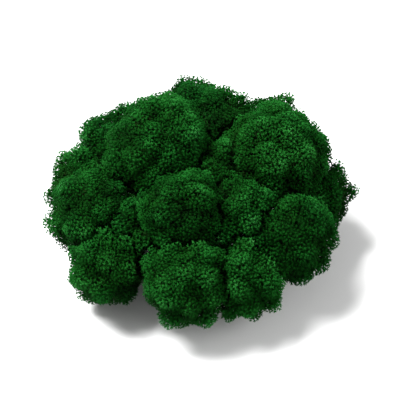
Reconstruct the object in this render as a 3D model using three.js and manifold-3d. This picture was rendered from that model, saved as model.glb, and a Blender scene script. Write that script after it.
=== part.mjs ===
// Reindeer moss clump (Cladonia stellaris), dyed deep green.
// The clump is a bunch of separate podetia, here called tufts. Each tuft is one grown piece: a slender stalk
// that branches into a fan and ends in a rounded crown of lobes. The stalks lean outwards like the ribs of a
// dome, and their trimmed feet share one small flat spot.
// Millimetres, +Z up. The origin is on the resting plane, under the middle of the clump.
import * as THREE from "three";
import { mergeVertices } from "three/addons/utils/BufferGeometryUtils.js";
import Module from "manifold-3d";

// Driving dimensions
const GROWTH_DEPTH = 10; // the stalks aim at one point this far below the resting plane
const TUFT_GAP = 0.3; // clear space between neighbouring tufts
const STALK_FOOT_RADIUS = 1.5;
const STALK_NECK_RADIUS = 1.9;
const STALK_SHARE = 0.45; // share of the way up to the crown's centre that is bare stalk
const FAN_SHARE = 0.7; // radius of the fan where it meets the crown, as a share of the crown's radius
const CORE_SHARE = 0.72; // radius of the crown between its lobes, as a share of the crown's radius
const LOBE_SHARES = [0.26, 0.42]; // smallest and largest lobe radius, as a share of the crown's radius
const LOBE_REACHES = [0.88, 1.06]; // how far the lobes reach, as a share of the crown's radius
const LOBES_PER_MM = 1.4; // number of lobes for each millimetre of the crown's radius
const LOBE_SPREAD = THREE.MathUtils.degToRad(112); // lobes cover the crown out to this angle from its axis

// Each tuft: its name, the centre of its crown in x, y and z, and the radius of its crown
const TUFTS = [
  ["tuft_top_left", -10, 8, 26, 16.5],
  ["tuft_top_right", 19.5, 7, 24, 16.5],
  ["tuft_middle", -4, -12, 25, 13],
  ["tuft_left", -26, -6, 18, 13.5],
  ["tuft_front", -3, -25, 15.5, 13.5],
  ["tuft_right_front", 22, -12, 16.5, 14],
  ["tuft_back", -2, 26, 18, 14],
  ["tuft_back_left", -20, 19, 15.5, 13.5],
  ["tuft_back_right", 18, 23, 16, 13.5],
  ["tuft_right", 29, 4, 14.5, 12.5],
  ["tuft_front_left", -22.5, -18.5, 13, 12.5],
  ["tuft_front_right", 11, -24, 13.5, 12],
  ["tuft_left_back", -29, 8, 13.5, 12],
  ["tuft_top_back", 5, 19, 24, 12.5],
  ["tuft_inner_right", 10, -9, 22, 12],
  ["tuft_centre", 5, 1, 24, 11.5],
  ["tuft_inner_left", -14, -11, 18, 12],
];

// Fineness of the faces
const FACE_SIDE = 2.2; // about the side of a crown's triangle
const STALK_SIDES = 10;
const FAR = 200; // side of the box that trims the feet, larger than the clump

const GREEN = { color: 0x163f17, roughness: 0.9, metalness: 0 };
const UP = new THREE.Vector3(0, 0, 1);
const GROWTH_POINT = new THREE.Vector3(0, 0, -GROWTH_DEPTH);
const GOLDEN_ANGLE = Math.PI * (3 - Math.sqrt(5));
const ICOSAHEDRON_EDGE = 1.05; // edge of an icosahedron as a share of its radius

const wasm = await Module();
wasm.setup();

// Numbers from 0 to 1 that are the same on every run.
function seededRandom(seed) {
  let state = seed;
  return () => {
    state = (Math.imul(state, 1664525) + 1013904223) >>> 0;
    return state / 2 ** 32;
  };
}

function between([low, high], share) {
  return THREE.MathUtils.lerp(low, high, share);
}

function solidFrom(geometry) {
  geometry.deleteAttribute("normal");
  geometry.deleteAttribute("uv");
  const merged = mergeVertices(geometry);
  return new wasm.Manifold(
    new wasm.Mesh({
      numProp: 3,
      vertProperties: merged.attributes.position.array,
      triVerts: new Uint32Array(merged.index.array),
    }),
  );
}

function geometryFrom(solid) {
  const mesh = solid.getMesh();
  const geometry = new THREE.BufferGeometry();
  geometry.setAttribute("position", new THREE.BufferAttribute(mesh.vertProperties, mesh.numProp));
  geometry.setIndex(new THREE.BufferAttribute(mesh.triVerts, 1));
  geometry.computeVertexNormals();
  return geometry;
}

// Lobes are balls spread over the outer side of the crown in a golden spiral about the tuft's axis. Their
// places are relative to the crown's centre.
function lobesOf(axis, radius, random) {
  const count = Math.round(radius * LOBES_PER_MM);
  const turn = new THREE.Quaternion().setFromUnitVectors(UP, axis);
  const start = random() * 2 * Math.PI;
  return Array.from({ length: count }, (_, i) => {
    const along = 1 - ((i + 0.5) / count) * (1 - Math.cos(LOBE_SPREAD));
    const across = Math.sqrt(1 - along ** 2);
    const around = start + i * GOLDEN_ANGLE;
    const size = radius * between(LOBE_SHARES, random());
    const reach = radius * between(LOBE_REACHES, random());
    const direction = new THREE.Vector3(across * Math.cos(around), across * Math.sin(around), along);
    return { centre: direction.applyQuaternion(turn).multiplyScalar(reach - size), size };
  });
}

function tuftFrom([name, x, y, z, radius], index) {
  const centre = new THREE.Vector3(x, y, z);
  const stem = centre.clone().sub(GROWTH_POINT);
  const reach = stem.length();
  const axis = stem.normalize();
  return { name, centre, radius, reach, axis, lobes: lobesOf(axis, radius, seededRandom(index + 1)) };
}

// Distance from the crown's centre to the outside of a lobe, along a direction.
function lobeReach({ centre, size }, direction) {
  const along = direction.dot(centre);
  const beside = centre.lengthSq() - along ** 2;
  return beside < size ** 2 ? along + Math.sqrt(size ** 2 - beside) : 0;
}

// The crown is a sphere whose points are moved out to the lobe that reaches furthest, and a margin further.
function crownOf({ centre, radius, lobes }, margin) {
  const subdivisions = Math.round((radius * ICOSAHEDRON_EDGE) / FACE_SIDE) - 1;
  const geometry = new THREE.IcosahedronGeometry(1, subdivisions);
  const points = geometry.attributes.position;
  const direction = new THREE.Vector3();
  for (let i = 0; i < points.count; i++) {
    direction.fromBufferAttribute(points, i).normalize();
    const reaches = lobes.map((lobe) => lobeReach(lobe, direction));
    direction.multiplyScalar(Math.max(CORE_SHARE * radius, ...reaches) + margin);
    points.setXYZ(i, direction.x, direction.y, direction.z);
  }
  geometry.translate(centre.x, centre.y, centre.z);
  return solidFrom(geometry);
}

// The stalk rises along the tuft's axis from below the resting plane, then opens into the fan of branches
// that carries the crown.
function stalkOf({ axis, reach, radius }, margin) {
  const profile = [
    [0, 0],
    [STALK_FOOT_RADIUS + margin, 0],
    [STALK_NECK_RADIUS + margin, STALK_SHARE * reach],
    [FAN_SHARE * radius + margin, reach],
    [0, reach],
  ].map(([across, along]) => new THREE.Vector2(across, along));
  const geometry = new THREE.LatheGeometry(profile, STALK_SIDES);
  geometry.rotateX(Math.PI / 2);
  geometry.applyQuaternion(new THREE.Quaternion().setFromUnitVectors(UP, axis));
  geometry.translate(GROWTH_POINT.x, GROWTH_POINT.y, GROWTH_POINT.z);
  return solidFrom(geometry);
}

// The whole tuft before it meets its neighbours, a margin larger all round.
function tuftShape(tuft, margin) {
  return crownOf(tuft, margin).add(stalkOf(tuft, margin));
}

// A neighbour can cut a crumb off a crown. Only the body on the stalk is kept.
function mainBody(solid) {
  return solid.decompose().reduce((largest, body) => (body.volume() > largest.volume() ? body : largest));
}

function spaceBelowRest() {
  const box = new THREE.BoxGeometry(FAR, FAR, FAR);
  box.translate(0, 0, -FAR / 2);
  return solidFrom(box);
}

// Each tuft gives way to those listed before it, and its foot is trimmed flat on the resting plane.
const tufts = TUFTS.map(tuftFrom);
const clump = new THREE.Group();
tufts.forEach((tuft, index) => {
  let solid = tuftShape(tuft, 0).subtract(spaceBelowRest());
  for (const earlier of tufts.slice(0, index)) {
    solid = solid.subtract(tuftShape(earlier, TUFT_GAP));
  }
  const mesh = new THREE.Mesh(geometryFrom(mainBody(solid)), new THREE.MeshStandardMaterial(GREEN));
  mesh.name = tuft.name;
  clump.add(mesh);
});

// The origin goes under the middle of the clump.
const middle = new THREE.Box3().setFromObject(clump).getCenter(new THREE.Vector3());
clump.position.set(-middle.x, -middle.y, 0);

export default clump;
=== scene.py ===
import math

import bpy
import numpy as np
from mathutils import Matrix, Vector
from mathutils.bvhtree import BVHTree
from mathutils.kdtree import KDTree


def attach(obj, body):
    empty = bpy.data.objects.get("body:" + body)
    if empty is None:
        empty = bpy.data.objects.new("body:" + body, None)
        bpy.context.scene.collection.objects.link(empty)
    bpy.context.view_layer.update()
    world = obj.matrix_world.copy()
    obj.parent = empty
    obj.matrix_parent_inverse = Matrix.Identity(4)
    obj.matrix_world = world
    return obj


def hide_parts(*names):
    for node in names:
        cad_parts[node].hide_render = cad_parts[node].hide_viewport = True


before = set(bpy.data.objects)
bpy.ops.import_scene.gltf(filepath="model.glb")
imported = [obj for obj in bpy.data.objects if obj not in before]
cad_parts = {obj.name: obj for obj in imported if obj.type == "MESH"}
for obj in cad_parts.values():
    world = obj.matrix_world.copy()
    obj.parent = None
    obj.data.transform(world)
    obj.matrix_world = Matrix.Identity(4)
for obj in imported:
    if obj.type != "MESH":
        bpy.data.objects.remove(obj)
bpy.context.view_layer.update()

MM = 0.001
HAIRLINE = 0.01 * MM  # too small to see
SMALLEST_LENGTH = 1e-12  # keeps a vector of no length from being divided by 0
STEEP = 0.9  # upright part of a direction that counts as steep
UP = (0.0, 0.0, 1.0)
SIDEWAYS = (1.0, 0.0, 0.0)
SEED = 11

# Two words for a shoot's colour: its tipness goes from 0 for the old wood of the stalk to 1 for the
# freshest tips, and its tone is 0.5 for the usual green, less for a darker one and more for a paler one.

# Layers of tips, from the crown's surface inwards: how far apart they stand, how deep they sit, the size
# of their stars, their tipness, and the level of the forks that carry them. The first two layers are bare
# where a neighbour's crown is near.
TIP_LAYERS = [
    {"spacing": 0.76 * MM, "depth": -0.2 * MM, "size": 1.0, "tipness": 0.98, "fork": 0, "in_contact": False},
    {"spacing": 1.0 * MM, "depth": 0.6 * MM, "size": 1.3, "tipness": 0.8, "fork": 0, "in_contact": False},
    {"spacing": 1.5 * MM, "depth": 1.6 * MM, "size": 1.9, "tipness": 0.6, "fork": 1, "in_contact": True},
    {"spacing": 1.9 * MM, "depth": 3.4 * MM, "size": 3.0, "tipness": 0.42, "fork": 1, "in_contact": True},
    {"spacing": 2.2 * MM, "depth": 5.6 * MM, "size": 4.6, "tipness": 0.3, "fork": 2, "in_contact": True},
]
TIP_UNEVENNESS = (-0.15 * MM, 0.3 * MM)  # least and most that a tip sits deeper than its layer
COVERED_WITHIN = 0.5 * MM  # a neighbour's crown is near where it lies this close above the surface
TRIES_PER_SQUARE = 9  # points tried for each square of the spacing, enough to leave no bare patch

# Twigs, each with a star of spikes at its end. A pair is the least and the most share of the usual size.
TWIG_RADIUS = 0.22 * MM
TWIG_RADII = (0.8, 1.1)
TWIG_TIPNESS = 0.55  # of a twig's start, as a share of its tip's
TWIG_OVERSHOOTS = (0.5, 0.9)  # how far a twig's point passes the star's middle, in spike lengths
STAR_SPIKES = 4
STAR_SPREAD = math.radians(58)  # how far a spike leans away from its twig
STAR_SPREADS = (0.75, 1.2)
STAR_UNEVENNESS = 0.2  # of the turn from one spike to the next
SPIKE_LENGTH = 0.62 * MM
SPIKE_LENGTHS = (0.75, 1.15)
SPIKE_RADIUS = 0.18 * MM
SPIKE_RADII = (0.85, 1.15)
SPIKE_ROOT = 0.3  # how far behind the star's middle a spike starts, in spike radii
SPIKE_TIPNESS = 0.87  # of a spike's start, as a share of its tip's

# Forks, from the crown's surface inwards: spacing, depth under the surface, radius, height of the little
# dome that each one lifts the surface by, and tipness
FORKS = [
    {"spacing": 2.8 * MM, "depth": 2.3 * MM, "radius": 0.24 * MM, "dome": 0.4 * MM, "tipness": 0.5},
    {"spacing": 5.4 * MM, "depth": 5.2 * MM, "radius": 0.40 * MM, "dome": 0.8 * MM, "tipness": 0.35},
    {"spacing": 9.5 * MM, "depth": 8.0 * MM, "radius": 0.62 * MM, "dome": 0.2 * MM, "tipness": 0.2},
]
FORK_DEPTHS = (0.8, 1.15)  # least and most share of its depth that a fork lies at
FORK_SCATTER = 0.12  # how far a fork strays, as a share of its depth
FORK_CREASE_SHARE = 0.7  # share of a crease's depth that a fork under it is sunk by
MARK_CHOICE_SPACING = 1.0 * MM  # between the points that the forks' places are chosen from
DOME_REACH = 0.6  # how far from its middle a dome has dropped by its height, as a share of the spacing
DOME_DROP = 1.3  # the most that the surface drops, in dome heights

# Crown. Lengths are shares of the crown's radius.
CROWN_FOOT = -1.1  # height over the crown's middle at which the first shoots stand
CROWN_FILLING = 0.35  # height over which they thicken to their full number
ROOT_DEPTH = 0.35  # how far below the crown's middle the point lies that tips and forks sink towards

# Branches, from each fork to the one inside it
BRANCH_STEPS = 4  # points along a branch, with its start and its end
BRANCH_START = 0.85  # radius where a branch starts, as a share of the radius of the fork that it leaves
BRANCH_BEND = 0.05  # how far it wanders sideways, as a share of its length

# Stalk, its limbs, which carry the innermost forks, and its dead twigs. Shares are of the way from the
# stalk's foot to the crown's middle, unless a comment says otherwise.
STALK_RADII = (1.15 * MM, 0.7 * MM)  # at the foot and in the crown
STALK_KNOTS = (0.8, 1.25)  # least and most share of its radius, here and there
STALK_WANDER = 0.25 * MM
STALK_TIPNESS = (0.0, 0.08)  # at the foot and in the crown
STALK_STEPS = 18  # points along the stalk, with its foot and its end
STALK_TRIMMED = 0.15  # share up to its second ring, which stands clear of the floor
STALK_BARE = 0.4  # share below the first limb
STALK_TOP = 0.95  # share below the last limb
LIMB_RISE = 0.9  # how far a limb climbs for each step that it leaves the stalk
LIMB_TIPNESS = 0.1  # where a limb leaves the stalk
STALK_TWIG_SPACING = 0.42 * MM
STALK_TWIG_SHARES = (0.08, 0.9)  # of the lowest and the highest dead twig
STALK_TWIG_LEANS = (0.6, 1.25)  # least and most lean away from the stalk, in radians
STALK_TWIG_REACHES = (0.9 * MM, 2.8 * MM)  # least and most, beyond the stalk's side
STALK_TWIG_CLEARANCE = 1.1 * MM  # over the floor
STALK_TWIG_TIPNESS = (0.05, 0.68)  # at the foot and in the crown
STALK_TWIG_SIZE = 1.3

# Sides of a shoot's section
TWIG_SIDES = 3
BRANCH_SIDES = 5
STALK_SIDES = 8

# Tones. Each spread is the most that a tone differs either way.
MIDDLE_TONE = 0.5
TUFT_TONE_SPREAD = 0.17
PATCH_TONE_SPREAD = 0.18
PATCH_LEVEL = 1  # a patch is what one fork of this level carries
FORK_TONE_SPREAD = 0.12
TIP_TONE_SPREAD = 0.1
BRANCH_TONE_SPREAD = 0.1
STALK_TWIG_TONE_SPREAD = 0.2
TONE_LIMITS = (0.05, 0.95)

# Loss of tipness, which darkens the colour: in the creases between the forks' domes, where the tips are
# older and where painted shade falls, and in the valleys between the lobes, where it is painted shade
CREASE_AGE_AND_SHADE_DARKENING = 0.16  # share lost for each millimetre that a crease is deep
CREASE_AGE_AND_SHADE_DARKEST = 0.3  # least share that is left
# painted shade: the valleys between the lobes are darkened
VALLEY_PAINTED_SHADE = 1.5  # share lost for each radius that the surface lies inside the crown's outline
VALLEY_PAINTED_SHADE_DARKEST = 0.35  # least share that is left

# Colour map, the UV map that each shoot's colour is read from: its tipness is U and its tone is V
COLOUR_MAP = "OFBake"  # the export bakes onto a map of this name
MAP_HALF_WIDTH = 0.012  # half the width of a shoot on the map, so that no face on it is a mere line

# Colours of the lichen by tipness, and what they are multiplied by for each tone
TIPNESS_COLOURS = [
    (0.0, (0.050, 0.042, 0.019)),
    (0.08, (0.030, 0.032, 0.012)),
    (0.13, (0.009, 0.014, 0.003)),
    (0.35, (0.003, 0.022, 0.002)),
    (0.6, (0.002, 0.048, 0.003)),
    (0.85, (0.010, 0.120, 0.015)),
    (1.0, (0.052, 0.240, 0.061)),
]
TONE_FACTORS = [
    (0.1, (0.38, 0.56, 0.55)),
    (MIDDLE_TONE, (1.0, 1.0, 1.0)),
    (0.9, (2.1, 1.4, 1.7)),
]
WOOD_ROUGHNESS = 0.6
TIP_ROUGHNESS = 0.85
SPECULAR_LEVEL = 0.04
GRAIN_SCALE = 60.0  # grains of felt across the colour map
GRAIN_DETAIL = 3.0
GRAIN_HEIGHT = 0.04 * MM
GRAIN_STRENGTH = 0.6

# Stage, light and camera, in metres, with the lights' angles in degrees. Azimuth 0 is the viewer's side,
# and a positive one is to the right.
FLOOR_SIZE = 6.0
FLOOR_COLOUR = (0.86, 0.86, 0.86, 1.0)
FLOOR_ROUGHNESS = 0.9
STUDIO_COLOUR = (1.0, 1.0, 1.0, 1.0)
STUDIO_STRENGTH = 0.42
LIGHT_DISTANCE = 1.2
LIGHTS = [
    {"name": "key", "azimuth": -115, "elevation": 58, "size": 0.6, "watts": 46.0},
    {"name": "fill", "azimuth": 75, "elevation": 30, "size": 1.0, "watts": 9.0},
]
CAMERA_ELEVATION = math.radians(47)
CAMERA_DISTANCE = 0.493
CAMERA_LENS = 174.0  # in millimetres
CAMERA_TARGET = Vector((0.0, -0.001, 0.017))


# Directions

def unit(vectors):
    return vectors / np.maximum(np.linalg.norm(vectors, axis=-1, keepdims=True), SMALLEST_LENGTH)


def two_across(directions):
    """Two unit vectors for each direction, at right angles to it and to each other."""
    helper = np.where(np.abs(directions[:, 2:]) < STEEP, UP, SIDEWAYS)
    across = unit(np.cross(directions, helper))
    return across, np.cross(directions, across)


def spread_round(directions, angle, turn):
    """Directions that lean away from the given ones by an angle, turned about them."""
    across, beside = two_across(directions)
    around = np.cos(turn)[:, None] * across + np.sin(turn)[:, None] * beside
    return np.cos(angle)[:, None] * directions + np.sin(angle)[:, None] * around


# Points on a surface

def triangles_of(node):
    """The corners of the node's triangles: (triangles, 3, 3)."""
    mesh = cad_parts[node].data
    mesh.calc_loop_triangles()
    points = np.empty(3 * len(mesh.vertices), np.float32)
    mesh.vertices.foreach_get("co", points)
    corners = np.empty(3 * len(mesh.loop_triangles), np.int32)
    mesh.loop_triangles.foreach_get("vertices", corners)
    return points.reshape(-1, 3).astype(float)[corners.reshape(-1, 3)]


def tree_of(points):
    tree = KDTree(len(points))
    for i, point in enumerate(points):
        tree.insert(point, i)
    tree.balance()
    return tree


def thin_out(points, spacing):
    """Indices of points that leave no two nearer than the spacing."""
    tree = tree_of(points)
    free = np.ones(len(points), bool)
    kept = []
    for i in range(len(points)):
        if free[i]:
            kept.append(i)
            for _, j, _ in tree.find_range(points[i], spacing):
                free[j] = False
    return np.array(kept)


def nearest(points, targets):
    """For each point, the index of its nearest target and the distance."""
    tree = tree_of(targets)
    found = [tree.find(point) for point in points]
    indices = np.array([index for _, index, _ in found])
    distances = np.array([distance for _, _, distance in found])
    return indices, distances


def strewn(triangles, spacing, rng):
    """Points strewn evenly over the triangles, with the normals there."""
    sides = triangles[:, 1:] - triangles[:, :1]
    normals = np.cross(sides[:, 0], sides[:, 1])
    areas = np.linalg.norm(normals, axis=1) / 2
    tries = int(TRIES_PER_SQUARE * areas.sum() / spacing**2)
    chosen = rng.choice(len(areas), tries, p=areas / areas.sum())
    across = rng.random((tries, 2))
    outside = across.sum(axis=1) > 1
    across[outside] = 1 - across[outside]
    points = triangles[chosen, 0] + np.einsum("ij,ijk->ik", across, sides[chosen])
    kept = thin_out(points, spacing)
    return points[kept], unit(normals[chosen[kept]])


def uncovered(points, normals, neighbours):
    """True where no neighbour lies close above the surface."""
    lifted = points + normals * HAIRLINE
    hits = [neighbours.ray_cast(p, n, COVERED_WITHIN)[0] for p, n in zip(lifted, normals)]
    return np.array([hit is None for hit in hits])


# Shoots: tapering round branches, many at a time

def shoot_faces(rings, sides):
    """Triangles of one shoot: its flat start, the wall between its rings, and the cone to its point."""
    faces = [(0, i + 1, i) for i in range(1, sides - 1)]
    point = rings * sides
    for ring in range(rings):
        for i in range(sides):
            low = ring * sides + i
            low_next = ring * sides + (i + 1) % sides
            if ring == rings - 1:
                faces.append((low, low_next, point))
            else:
                faces.append((low, low_next, low_next + sides))
                faces.append((low, low_next + sides, low + sides))
    return np.array(faces)


class Shoots:
    """Collects the vertices, triangles and colour map of one tuft."""

    def __init__(self):
        self.points, self.faces, self.places, self.count = [], [], [], 0

    def add(self, paths, radii, tipness, tone, sides, flat_start=False):
        """Adds a shoot along each path, whose last step is its point. A flat start lies on the floor. The
        arrays' sizes are paths (shoots, steps, 3), radii (shoots, steps - 1), tipness (shoots, steps) and
        tone (shoots)."""
        shoots, steps = paths.shape[:2]
        ahead = unit(paths[:, -1] - paths[:, 0])
        across, beside = two_across(ahead)
        angles = np.arange(sides) * 2 * math.pi / sides
        circle = np.stack([np.cos(angles), np.sin(angles)], axis=-1)
        spokes = circle[None, :, :1] * across[:, None] + circle[None, :, 1:] * beside[:, None]
        ring_points = paths[:, :-1, None] + radii[:, :, None, None] * spokes[:, None]
        if flat_start:
            fall = ring_points[:, 0, :, 2:] / ahead[:, None, 2:]
            ring_points[:, 0] -= fall * ahead[:, None]
        points = np.concatenate([ring_points.reshape(shoots, -1, 3), paths[:, -1:]], axis=1)
        middle = np.stack(np.broadcast_arrays(tipness, tone[:, None]), axis=-1)
        ring_places = middle[:, :-1, None] + MAP_HALF_WIDTH * circle
        places = np.concatenate([ring_places.reshape(shoots, -1, 2), middle[:, -1:]], axis=1)
        starts = self.count + np.arange(shoots) * points.shape[1]
        self.points.append(points.reshape(-1, 3))
        self.places.append(places.reshape(-1, 2))
        self.faces.append((starts[:, None, None] + shoot_faces(steps - 1, sides)).reshape(-1, 3))
        self.count += shoots * points.shape[1]

    def to_object(self, name, material):
        points = np.concatenate(self.points)
        faces = np.concatenate(self.faces).astype(np.int32)
        places = np.clip(np.concatenate(self.places), 0.0, 1.0)
        mesh = bpy.data.meshes.new(name)
        mesh.vertices.add(len(points))
        mesh.vertices.foreach_set("co", points.astype(np.float32).ravel())
        mesh.loops.add(faces.size)
        mesh.loops.foreach_set("vertex_index", faces.ravel())
        mesh.polygons.add(len(faces))
        mesh.polygons.foreach_set("loop_start", np.arange(0, faces.size, 3, dtype=np.int32))
        colour_map = mesh.uv_layers.new(name=COLOUR_MAP)
        colour_map.uv.foreach_set("vector", places[faces.ravel()].astype(np.float32).ravel())
        mesh.update(calc_edges=True)
        mesh.shade_smooth()
        mesh.materials.append(material)
        piece = bpy.data.objects.new(name, mesh)
        bpy.context.scene.collection.objects.link(piece)
        return piece


def add_tips(shoots, bases, ends, tipness, tone, size, rng):
    """A twig from each base to its end, with a star of spikes there."""
    count = len(ends)
    spike_length = SPIKE_LENGTH * size
    spike_radius = SPIKE_RADIUS * size
    ahead = unit(ends - bases)
    point = ends + ahead * spike_length * rng.uniform(*TWIG_OVERSHOOTS, (count, 1))
    twig_radius = TWIG_RADIUS * size * rng.uniform(*TWIG_RADII, (count, 1))
    twig_tipness = tipness[:, None] * [TWIG_TIPNESS, 1.0]
    shoots.add(np.stack([bases, point], axis=1), twig_radius, twig_tipness, tone, TWIG_SIDES)
    start = rng.uniform(0, 2 * math.pi, count)
    spike_tipness = tipness[:, None] * [SPIKE_TIPNESS, 1.0]
    for spike in range(STAR_SPIKES):
        stray = rng.uniform(-STAR_UNEVENNESS, STAR_UNEVENNESS, count)
        turn = start + (spike + stray) * 2 * math.pi / STAR_SPIKES
        lean = STAR_SPREAD * rng.uniform(*STAR_SPREADS, count)
        way = spread_round(ahead, lean, turn)
        root = ends - way * SPIKE_ROOT * spike_radius
        tip = ends + way * spike_length * rng.uniform(*SPIKE_LENGTHS, (count, 1))
        radii = spike_radius * rng.uniform(*SPIKE_RADII, (count, 1))
        shoots.add(np.stack([root, tip], axis=1), radii, spike_tipness, tone, TWIG_SIDES)


def bent_paths(starts, ends, rng):
    """Paths from starts to ends that wander sideways."""
    share = np.linspace(0, 1, BRANCH_STEPS)[None, :, None]
    paths = starts[:, None] * (1 - share) + ends[:, None] * share
    length = np.linalg.norm(ends - starts, axis=1)[:, None, None]
    sideways = rng.normal(0, BRANCH_BEND, (len(starts), BRANCH_STEPS, 3)) * length
    return paths + sideways * np.sin(share * math.pi)


def add_branches(shoots, starts, ends, inner_fork, outer_fork, tone, rng):
    """A branch from each start, at the inner fork, to its end, at the outer one."""
    count = len(starts)
    beyond = ends + unit(ends - starts) * outer_fork["radius"]
    share = np.linspace(0, 1, BRANCH_STEPS)
    radii = np.interp(share[:-1], (0, 1), (inner_fork["radius"] * BRANCH_START, outer_fork["radius"]))
    tipness = np.interp(share, (0, 1), (inner_fork["tipness"], outer_fork["tipness"]))
    paths = bent_paths(starts, beyond, rng)
    tones = np.clip(tone + rng.uniform(-BRANCH_TONE_SPREAD, BRANCH_TONE_SPREAD, count), *TONE_LIMITS)
    shoots.add(paths, np.tile(radii, (count, 1)), np.tile(tipness, (count, 1)), tones, BRANCH_SIDES)


# Tufts

def frame_of_tuft(triangles):
    """The foot's centre, the axis, the crown's middle and its radius, read from the tuft's solid."""
    low = triangles[:, :, 2].max(axis=1) < HAIRLINE
    foot = triangles[low].reshape(-1, 3).mean(axis=0)
    normals = np.cross(triangles[:, 1] - triangles[:, 0], triangles[:, 2] - triangles[:, 0])
    weights = np.linalg.norm(normals, axis=1)
    middle = (triangles.mean(axis=1) * weights[:, None]).sum(axis=0) / weights.sum()
    axis = unit(middle - foot)
    along = (triangles - foot) @ axis
    away = np.linalg.norm(triangles - foot - along[..., None] * axis, axis=-1)
    radius = away.max()
    return foot, axis, foot + axis * (along.max() - radius), radius


class Tuft:
    """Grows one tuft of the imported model. Each fork has a mark on the crown's surface and, under it, a
    joint where its branches meet."""

    def __init__(self, triangles, neighbours, rng):
        self.triangles, self.neighbours, self.rng = triangles, neighbours, rng
        self.foot, self.axis, self.crown, self.radius = frame_of_tuft(triangles)
        self.root = self.crown - self.axis * ROOT_DEPTH * self.radius
        self.stalk_length = (self.crown - self.foot) @ self.axis
        self.tone = MIDDLE_TONE + rng.uniform(-TUFT_TONE_SPREAD, TUFT_TONE_SPREAD)
        self.shoots = Shoots()
        self.marks = self.chosen_marks()
        self.joints = [self.joints_under(marks, fork) for marks, fork in zip(self.marks, FORKS)]

    def strewn_on_crown(self, spacing):
        """Points on the crown, and whether each is clear of the neighbours."""
        points, normals = strewn(self.triangles, spacing, self.rng)
        height = (points - self.crown) @ self.axis / self.radius
        filling = np.clip((height - CROWN_FOOT) / CROWN_FILLING, 0, 1)
        wanted = self.rng.random(len(points)) < filling
        points, normals = points[wanted], normals[wanted]
        return points, uncovered(points, normals, self.neighbours)

    def chosen_marks(self):
        """The forks' marks: each level stands on a thinned-out choice of the level outside it."""
        marks = []
        choice, _ = self.strewn_on_crown(MARK_CHOICE_SPACING)
        for fork in FORKS:
            choice = choice[thin_out(choice, fork["spacing"])]
            marks.append(choice)
        return marks

    def crease_depth(self, points):
        """How deep the creases between the forks' little domes are here."""
        depth = np.zeros(len(points))
        for fork, marks in zip(FORKS, self.marks):
            _, distance = nearest(points, marks)
            drop = (distance / (DOME_REACH * fork["spacing"])) ** 2
            depth += fork["dome"] * np.minimum(drop, DOME_DROP)
        return depth

    def sunk(self, points, depth):
        """The points, each moved towards the root by its depth."""
        return points + unit(self.root - points) * depth[:, None]

    def joints_under(self, marks, fork):
        """The joints of one level's forks, a little scattered under their marks."""
        depth = fork["depth"] * self.rng.uniform(*FORK_DEPTHS, len(marks))
        depth += FORK_CREASE_SHARE * self.crease_depth(marks)
        return self.sunk(marks, depth) + self.rng.normal(0, FORK_SCATTER * fork["depth"], marks.shape)

    def tipness_left_after_age_and_painted_shade(self, points, crease):
        """Share of the tipness that is left in the creases, lowered there for older tips and for painted
        shade, and in the valleys between the lobes, lowered there for painted shade.
        """
        # partly painted shade: tips in the creases get darker, as older tips and as shade
        crease_age_and_shade = np.clip(1.0 - CREASE_AGE_AND_SHADE_DARKENING * crease / MM, CREASE_AGE_AND_SHADE_DARKEST, 1.0)
        reach = np.linalg.norm(points - self.crown, axis=1) / self.radius
        # painted shade: the valleys between the lobes get darker
        valley_painted_shade = np.clip(1.0 - VALLEY_PAINTED_SHADE * (1.0 - reach), VALLEY_PAINTED_SHADE_DARKEST, 1.0)
        return crease_age_and_shade * valley_painted_shade

    def grow_tips(self):
        """Twigs with their tips, layer by layer, each from the nearest fork of its layer's level."""
        rng = self.rng
        patches = self.marks[PATCH_LEVEL]
        patch_tones = rng.uniform(-PATCH_TONE_SPREAD, PATCH_TONE_SPREAD, len(patches))
        for layer in TIP_LAYERS:
            marks, joints = self.marks[layer["fork"]], self.joints[layer["fork"]]
            fork_tones = rng.uniform(-FORK_TONE_SPREAD, FORK_TONE_SPREAD, len(marks))
            points, clear = self.strewn_on_crown(layer["spacing"])
            if not layer["in_contact"]:
                points, clear = points[clear], clear[clear]
            parent, _ = nearest(points, marks)
            patch, _ = nearest(points, patches)
            crease = np.where(clear, self.crease_depth(points), 0.0)
            depth = layer["depth"] + crease + rng.uniform(*TIP_UNEVENNESS, len(points))
            # painted shade: the tipness, and so the colour, is lowered in the creases and in the valleys
            # between the lobes
            tipness = layer["tipness"] * self.tipness_left_after_age_and_painted_shade(points, crease)
            tone = self.tone + fork_tones[parent] + patch_tones[patch]
            tone += rng.uniform(-TIP_TONE_SPREAD, TIP_TONE_SPREAD, len(points))
            ends = self.sunk(points, depth)
            add_tips(self.shoots, joints[parent], ends, tipness, tone, layer["size"], rng)

    def grow_branches(self):
        """Branches between each fork and the nearest one of the level inside it."""
        for outside in range(len(FORKS) - 1):
            inside = outside + 1
            parent, _ = nearest(self.marks[outside], self.marks[inside])
            starts, ends = self.joints[inside][parent], self.joints[outside]
            add_branches(self.shoots, starts, ends, FORKS[inside], FORKS[outside], self.tone, self.rng)

    def grow_limbs(self):
        """Limbs between the stalk and the innermost forks."""
        ends = self.joints[-1]
        along = (ends - self.foot) @ self.axis
        away = np.linalg.norm(ends - self.foot - along[:, None] * self.axis, axis=1)
        lowest, highest = STALK_BARE * self.stalk_length, STALK_TOP * self.stalk_length
        leaves = np.clip(along - LIMB_RISE * away, lowest, highest)
        starts = self.foot + leaves[:, None] * self.axis
        stalk_fork = {"radius": STALK_RADII[1], "tipness": LIMB_TIPNESS}
        add_branches(self.shoots, starts, ends, stalk_fork, FORKS[-1], self.tone, self.rng)

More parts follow.
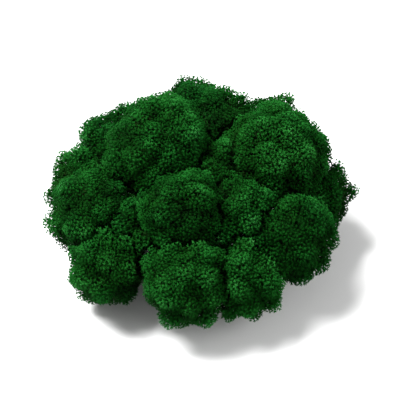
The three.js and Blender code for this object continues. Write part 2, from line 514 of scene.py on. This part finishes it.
    def grow_stalk(self):
        """The stalk, flat at its foot, with its knots and dead twigs."""
        share = np.append(0, np.linspace(STALK_TRIMMED, 1, STALK_STEPS - 1))
        path = self.foot + share[:, None] * (self.stalk_length * self.axis)
        path[1:] += self.rng.normal(0, STALK_WANDER, (STALK_STEPS - 1, 3))
        knots = self.rng.uniform(*STALK_KNOTS, STALK_STEPS - 1)
        radii = np.interp(share[:-1], (0, 1), STALK_RADII) * knots
        tipness = np.interp(share, (0, 1), STALK_TIPNESS)
        tone = np.array([self.tone])
        self.shoots.add(path[None], radii[None], tipness[None], tone, STALK_SIDES, flat_start=True)
        self.grow_stalk_twigs(path)

    def grow_stalk_twigs(self, path):
        """Short dead twigs all the way up the stalk, from just above its foot."""
        rng = self.rng
        length = np.linalg.norm(path[-1] - path[0])
        count = int(length / STALK_TWIG_SPACING)
        share = np.sort(rng.uniform(*STALK_TWIG_SHARES, count))
        steps = np.linalg.norm(path - path[0], axis=1) / length
        starts = np.stack([np.interp(share, steps, values) for values in path.T], axis=1)
        axis = np.broadcast_to(unit(path[-1] - path[0]), starts.shape)
        lean = rng.uniform(*STALK_TWIG_LEANS, count)
        way = spread_round(axis, lean, rng.uniform(0, 2 * math.pi, count))
        reach = STALK_RADII[0] + rng.uniform(*STALK_TWIG_REACHES, (count, 1))
        ends = starts + way * reach
        ends[:, 2] = np.maximum(ends[:, 2], STALK_TWIG_CLEARANCE)
        tipness = np.interp(share, (0, 1), STALK_TWIG_TIPNESS)
        tone = self.tone + rng.uniform(-STALK_TWIG_TONE_SPREAD, STALK_TWIG_TONE_SPREAD, count)
        add_tips(self.shoots, starts, ends, tipness, np.clip(tone, *TONE_LIMITS), STALK_TWIG_SIZE, rng)


def grow_tuft(node, triangles, neighbours, material, rng):
    """Grows a tuft in the place of its node's solid."""
    tuft = Tuft(triangles, neighbours, rng)
    tuft.grow_tips()
    tuft.grow_branches()
    tuft.grow_limbs()
    tuft.grow_stalk()
    piece = tuft.shoots.to_object(node + "_grown", material)
    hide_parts(node)
    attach(piece, "root")


def grow_clump():
    material = lichen_material()
    nodes = sorted(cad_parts)
    solids = {node: triangles_of(node) for node in nodes}
    for index, node in enumerate(nodes):
        others = np.concatenate([solids[other] for other in nodes if other != node])
        corners = np.arange(3 * len(others)).reshape(-1, 3)
        neighbours = BVHTree.FromPolygons(others.reshape(-1, 3).tolist(), corners.tolist())
        grow_tuft(node, solids[node], neighbours, material, np.random.default_rng(SEED + index))


# Lichen: brown old wood, dark green shoots, and fresh green tips, which are duller than the wood. A fine
# grain gives the felt.

def ramp(tree, source, stops):
    """The source's colour: each stop is a value of the source and the colour there."""
    node = tree.nodes.new("ShaderNodeValToRGB")
    elements = node.color_ramp.elements
    while len(elements) < len(stops):
        elements.new(position=0.5)  # only until it gets its own, below
    for element, (position, colour) in zip(elements, stops):
        element.position = position
        element.color = (*colour, 1.0)
    tree.links.new(source, node.inputs["Fac"])
    return node.outputs["Color"]


def tinted(tree, tipness, tone):
    """The colour for the tipness, multiplied by the tone's factors."""
    mix = tree.nodes.new("ShaderNodeMix")
    mix.data_type = "RGBA"
    mix.blend_type = "MULTIPLY"
    mix.inputs["Factor"].default_value = 1.0
    tree.links.new(ramp(tree, tipness, TIPNESS_COLOURS), mix.inputs["A"])
    tree.links.new(ramp(tree, tone, TONE_FACTORS), mix.inputs["B"])
    return mix.outputs["Result"]


def felted(tree, places):
    """The normal of a felt with a fine grain."""
    grain = tree.nodes.new("ShaderNodeTexNoise")
    grain.inputs["Scale"].default_value = GRAIN_SCALE
    grain.inputs["Detail"].default_value = GRAIN_DETAIL
    tree.links.new(places, grain.inputs["Vector"])
    felt = tree.nodes.new("ShaderNodeBump")
    felt.inputs["Distance"].default_value = GRAIN_HEIGHT
    felt.inputs["Strength"].default_value = GRAIN_STRENGTH
    tree.links.new(grain.outputs["Fac"], felt.inputs["Height"])
    return felt.outputs["Normal"]


def lichen_material():
    material = bpy.data.materials.new("dyed_lichen")
    material.use_nodes = True
    tree = material.node_tree
    shader = tree.nodes["Principled BSDF"]
    places = tree.nodes.new("ShaderNodeUVMap")
    places.uv_map = COLOUR_MAP
    parts = tree.nodes.new("ShaderNodeSeparateXYZ")
    tree.links.new(places.outputs["UV"], parts.inputs["Vector"])
    tipness, tone = parts.outputs["X"], parts.outputs["Y"]
    roughness_stops = [(0.0, (WOOD_ROUGHNESS,) * 3), (1.0, (TIP_ROUGHNESS,) * 3)]
    tree.links.new(tinted(tree, tipness, tone), shader.inputs["Base Color"])
    tree.links.new(ramp(tree, tipness, roughness_stops), shader.inputs["Roughness"])
    tree.links.new(felted(tree, places.outputs["UV"]), shader.inputs["Normal"])
    shader.inputs["Specular IOR Level"].default_value = SPECULAR_LEVEL
    return material


# Stage, light and camera

def spot_at(azimuth, elevation, distance):
    """The place at this distance from the origin, at these angles in radians."""
    flat = distance * math.cos(elevation)
    return Vector((flat * math.sin(azimuth), -flat * math.cos(azimuth), distance * math.sin(elevation)))


def add_camera():
    data = bpy.data.cameras.new("camera")
    data.lens = CAMERA_LENS
    camera = bpy.data.objects.new("camera", data)
    camera.location = CAMERA_TARGET + spot_at(0.0, CAMERA_ELEVATION, CAMERA_DISTANCE)
    camera.rotation_euler = (CAMERA_TARGET - camera.location).to_track_quat("-Z", "Y").to_euler()
    bpy.context.scene.collection.objects.link(camera)
    bpy.context.scene.camera = camera


def add_area_light(name, azimuth, elevation, size, watts):
    data = bpy.data.lights.new(name, "AREA")
    data.size = size
    data.energy = watts
    light = bpy.data.objects.new(name, data)
    light.location = spot_at(math.radians(azimuth), math.radians(elevation), LIGHT_DISTANCE)
    light.rotation_euler = (-light.location).to_track_quat("-Z", "Y").to_euler()
    bpy.context.scene.collection.objects.link(light)


def add_lights():
    world = bpy.data.worlds.new("studio")
    bpy.context.scene.world = world
    world.use_nodes = True
    background = world.node_tree.nodes["Background"]
    background.inputs["Color"].default_value = STUDIO_COLOUR
    background.inputs["Strength"].default_value = STUDIO_STRENGTH
    for light in LIGHTS:
        add_area_light(**light)


def add_stage():
    bpy.ops.mesh.primitive_plane_add(size=FLOOR_SIZE)
    floor = bpy.context.object
    floor.name = "floor"
    material = bpy.data.materials.new("floor")
    material.use_nodes = True
    shader = material.node_tree.nodes["Principled BSDF"]
    shader.inputs["Base Color"].default_value = FLOOR_COLOUR
    shader.inputs["Roughness"].default_value = FLOOR_ROUGHNESS
    floor.data.materials.append(material)


add_camera()
add_lights()
add_stage()
grow_clump()
bpy.context.scene.view_settings.view_transform = "Standard"
